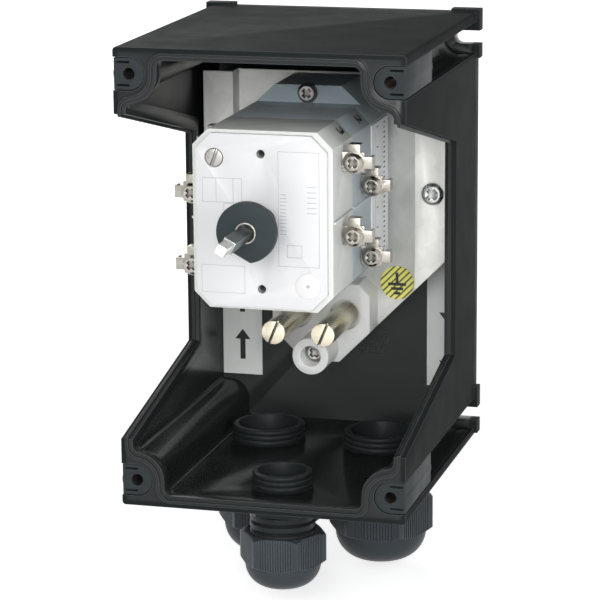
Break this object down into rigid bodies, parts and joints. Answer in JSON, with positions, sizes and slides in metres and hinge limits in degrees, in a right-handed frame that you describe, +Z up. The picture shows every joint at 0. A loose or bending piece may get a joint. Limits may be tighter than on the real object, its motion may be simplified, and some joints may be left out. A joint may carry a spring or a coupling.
{
  "type": "explosion-proof emergency stop switch",
  "caption": "Opened flameproof safety switch base: rotary contact decks with a square drive shaft on a sheet plate, earth terminals and cable glands in a windowed moulded case.",
  "frame": {"origin": "middle of the case's back face, on the wall", "axes": "+Y into the wall, so the open front faces -Y; +Z up; +X to the right seen from the front"},
  "size_m": [0.1234, 0.192, 0.238],
  "materials": {
    "case": "fine-textured semi-gloss black polyamide",
    "sleeves": "black polyamide",
    "bushes": "nickel-plated",
    "plate": "galvanised sheet, mottled",
    "plate_screws": "zinc-plated",
    "base": "bluish grey thermoset",
    "inner_deck": "darker grey thermoset",
    "outer_deck": "pale greenish grey thermoset",
    "front_plate": "white thermoplastic",
    "through_screws": "nickel-plated",
    "plug": "white thermoplastic",
    "strips": "plain brass",
    "clamps": "nickel-plated steel",
    "terminal_screws": "nickel-plated steel",
    "mount_screws": "zinc-plated steel",
    "earth_block": "white thermoplastic",
    "earth_posts": "nickel-plated brass",
    "strip_labels": "printed film",
    "earth_label": "printed film",
    "side_label": "printed film",
    "shaft": "dark burnished steel",
    "disc": "dark grey thermoplastic",
    "collar": "bright steel",
    "rotors": "brown thermoset",
    "cam": "dark grey thermoplastic",
    "blades": "copper alloy",
    "gland_bodies": "black polyamide",
    "gaskets": "black rubber",
    "seals": "black rubber",
    "clamp_rings": "dark grey polyamide",
    "caps": "black polyamide"
  },
  "bodies": {
    "housing": {"case": "case", "screw_sleeves": "sleeves", "sleeve_bushes": "bushes", "mounting_plate": "plate", "plate_screws": "plate_screws", "switch_base": "base", "inner_deck": "inner_deck", "outer_deck": "outer_deck", "front_plate": "front_plate", "through_screws": "through_screws", "screw_plug": "plug", "inner_contact_strips": "strips", "outer_contact_strips": "strips", "inner_clamp_plates": "clamps", "outer_clamp_plates": "clamps", "inner_terminal_screws": "terminal_screws", "outer_terminal_screws": "terminal_screws", "upper_mount_screw": "mount_screws", "lower_mount_screw": "mount_screws", "earth_block": "earth_block", "earth_posts": "earth_posts", "back_labels": "strip_labels", "earth_label": "earth_label", "side_label": "side_label", "front_gland_body": "gland_bodies", "left_gland_body": "gland_bodies", "right_gland_body": "gland_bodies", "gland_gaskets": "gaskets", "gland_seals": "seals"},
    "spindle": {"drive_shaft": "shaft", "coupling_disc": "disc", "shaft_collar": "collar", "inner_rotor": "rotors", "outer_rotor": "rotors", "stop_cam": "cam", "inner_blades": "blades", "outer_blades": "blades"},
    "front_ring": {"front_clamp_ring": "clamp_rings"},
    "front_cap": {"front_gland_cap": "caps"},
    "left_ring": {"left_clamp_ring": "clamp_rings"},
    "left_cap": {"left_gland_cap": "caps"},
    "right_ring": {"right_clamp_ring": "clamp_rings"},
    "right_cap": {"right_gland_cap": "caps"}
  },
  "joints": [
    {"name": "shaft_turn", "type": "hinge", "parent": "housing", "child": "spindle", "pos_m": [0, -0.1335, 0.026], "axis": [0, 1, 0], "range_deg": [0, 90]},
    {"name": "front_screw_in", "type": "slide", "parent": "housing", "child": "front_ring", "axis": [0, 0, 1], "range_m": [-0.003, 0.0075]},
    {"name": "front_cap_spin", "type": "hinge", "parent": "front_ring", "child": "front_cap", "pos_m": [0, -0.108, -0.111], "axis": [0, 0, 1], "range_deg": [-720, 1800]},
    {"name": "left_screw_in", "type": "slide", "parent": "housing", "child": "left_ring", "axis": [0, 0, 1], "range_m": [-0.003, 0.0075]},
    {"name": "left_cap_spin", "type": "hinge", "parent": "left_ring", "child": "left_cap", "pos_m": [-0.0255, -0.039, -0.11254], "axis": [0, 0, 1], "range_deg": [-720, 1800]},
    {"name": "right_screw_in", "type": "slide", "parent": "housing", "child": "right_ring", "axis": [0, 0, 1], "range_m": [-0.003, 0.0075]},
    {"name": "right_cap_spin", "type": "hinge", "parent": "right_ring", "child": "right_cap", "pos_m": [0.0255, -0.039, -0.11254], "axis": [0, 0, 1], "range_deg": [-720, 1800]}
  ],
  "couplings": [
    {"joint": "front_cap_spin", "follows": "front_screw_in", "rad_per_m": 4188.8},
    {"joint": "left_cap_spin", "follows": "left_screw_in", "rad_per_m": 4188.8},
    {"joint": "right_cap_spin", "follows": "right_screw_in", "rad_per_m": 4188.8}
  ]
}
